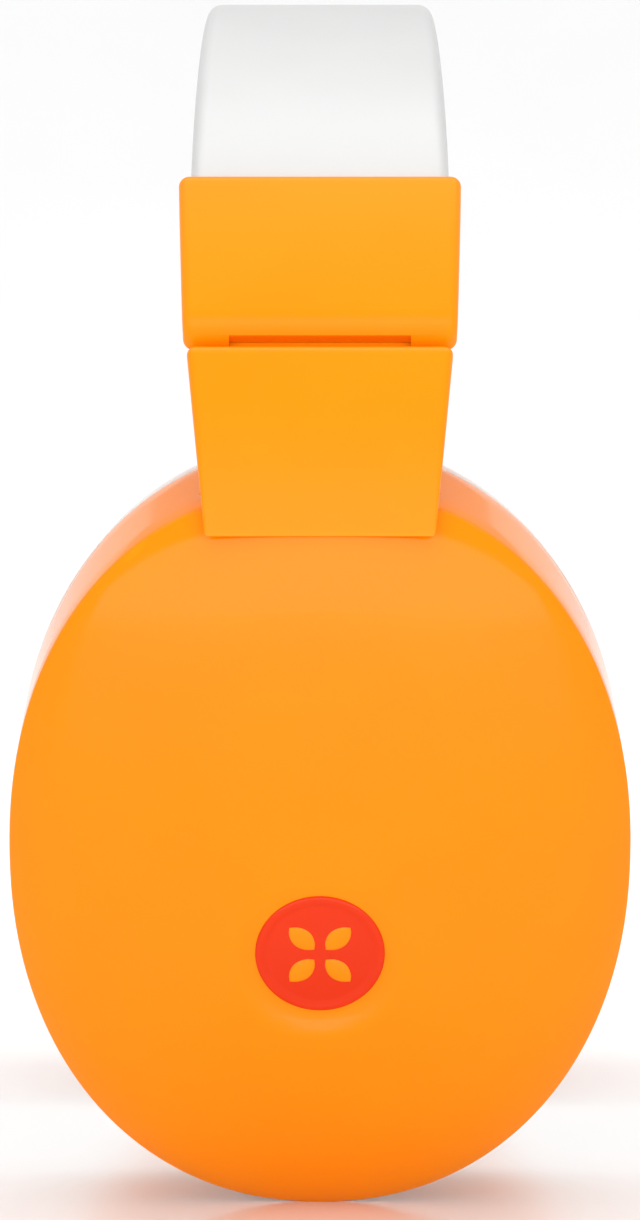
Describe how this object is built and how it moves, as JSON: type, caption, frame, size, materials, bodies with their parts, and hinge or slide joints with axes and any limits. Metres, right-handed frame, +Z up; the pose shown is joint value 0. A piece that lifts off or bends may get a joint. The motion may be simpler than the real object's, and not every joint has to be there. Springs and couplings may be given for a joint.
{
  "type": "earmuff hearing protector",
  "caption": "Folding child's earmuff hearing protector: padded arched headband, sliding housings, fold-in arms and tilting domed ear cups with soft ring cushions.",
  "frame": {"origin": "on the ground plane midway between the ear cups, at the bottom centre of the bounding box", "axes": "+X towards the wearer's right ear along the ear axis, +Y from back to front across the headband, +Z up to the crown of the arch"},
  "size_m": [0.1762, 0.0832, 0.1682],
  "materials": {
    "band_white": "smooth satin white moulded plastic",
    "pad_white": "white leatherette over foam, sewn edge",
    "cushion_white": "white leatherette over foam, seamed",
    "nylon": "natural nylon, fine moulded grain",
    "orange_satin": "orange moulded plastic, soft gloss",
    "orange_gloss": "orange moulded plastic, high gloss",
    "steel": "zinc-plated steel",
    "emblem_red": "red-orange inlay, gloss",
    "foam_grey": "open-cell acoustic foam, dark grey",
    "screen_grey": "thin knitted screen, dark grey"
  },
  "bodies": {
    "headband": {"headband_shell": "band_white", "headband_liner": "band_white", "headband_pad": "pad_white"},
    "slider_right": {"slider_stem_right": "nylon", "housing_outer_right": "orange_satin", "housing_inner_right": "orange_satin", "housing_screws_right": "steel", "fold_pin_right": "steel"},
    "arm_right": {"arm_right": "orange_satin", "arm_cover_right": "orange_satin", "arm_screws_right": "steel"},
    "cup_right": {"pivot_pin_right": "steel", "pivot_bracket_right": "nylon", "bracket_screws_right": "steel", "cup_body_right": "orange_gloss", "cup_cover_right": "orange_gloss", "cover_screws_right": "steel", "emblem_right": "emblem_red", "foam_insert_right": "foam_grey", "cushion_plate_right": "band_white", "cushion_screen_right": "screen_grey", "ear_cushion_right": "cushion_white"},
    "slider_left": {"slider_stem_left": "nylon", "housing_outer_left": "orange_satin", "housing_inner_left": "orange_satin", "housing_screws_left": "steel", "fold_pin_left": "steel"},
    "arm_left": {"arm_left": "orange_satin", "arm_cover_left": "orange_satin", "arm_screws_left": "steel"},
    "cup_left": {"pivot_pin_left": "steel", "pivot_bracket_left": "nylon", "bracket_screws_left": "steel", "cup_body_left": "orange_gloss", "cup_cover_left": "orange_gloss", "cover_screws_left": "steel", "emblem_left": "emblem_red", "foam_insert_left": "foam_grey", "cushion_plate_left": "band_white", "cushion_screen_left": "screen_grey", "ear_cushion_left": "cushion_white"}
  },
  "joints": [
    {"name": "size_slide_right", "type": "hinge", "parent": "headband", "child": "slider_right", "pos_m": [0, 0, 0.0822], "axis": [0, 1, 0], "range_deg": [0, 12]},
    {"name": "fold_right", "type": "hinge", "parent": "slider_right", "child": "arm_right", "pos_m": [0.07349, 0, 0.11789], "axis": [0, 1, 0], "range_deg": [0, 70]},
    {"name": "cup_tilt_right", "type": "hinge", "parent": "arm_right", "child": "cup_right", "pos_m": [0.0796, 0, 0.0888], "axis": [0, 1, 0], "range_deg": [-5, 5]},
    {"name": "size_slide_left", "type": "hinge", "parent": "headband", "child": "slider_left", "pos_m": [0, 0, 0.0822], "axis": [0, -1, 0], "range_deg": [0, 12]},
    {"name": "fold_left", "type": "hinge", "parent": "slider_left", "child": "arm_left", "pos_m": [-0.07349, 0, 0.11789], "axis": [0, 1, 0], "range_deg": [-70, 0]},
    {"name": "cup_tilt_left", "type": "hinge", "parent": "arm_left", "child": "cup_left", "pos_m": [-0.0796, 0, 0.0888], "axis": [0, 1, 0], "range_deg": [-5, 5]}
  ]
}
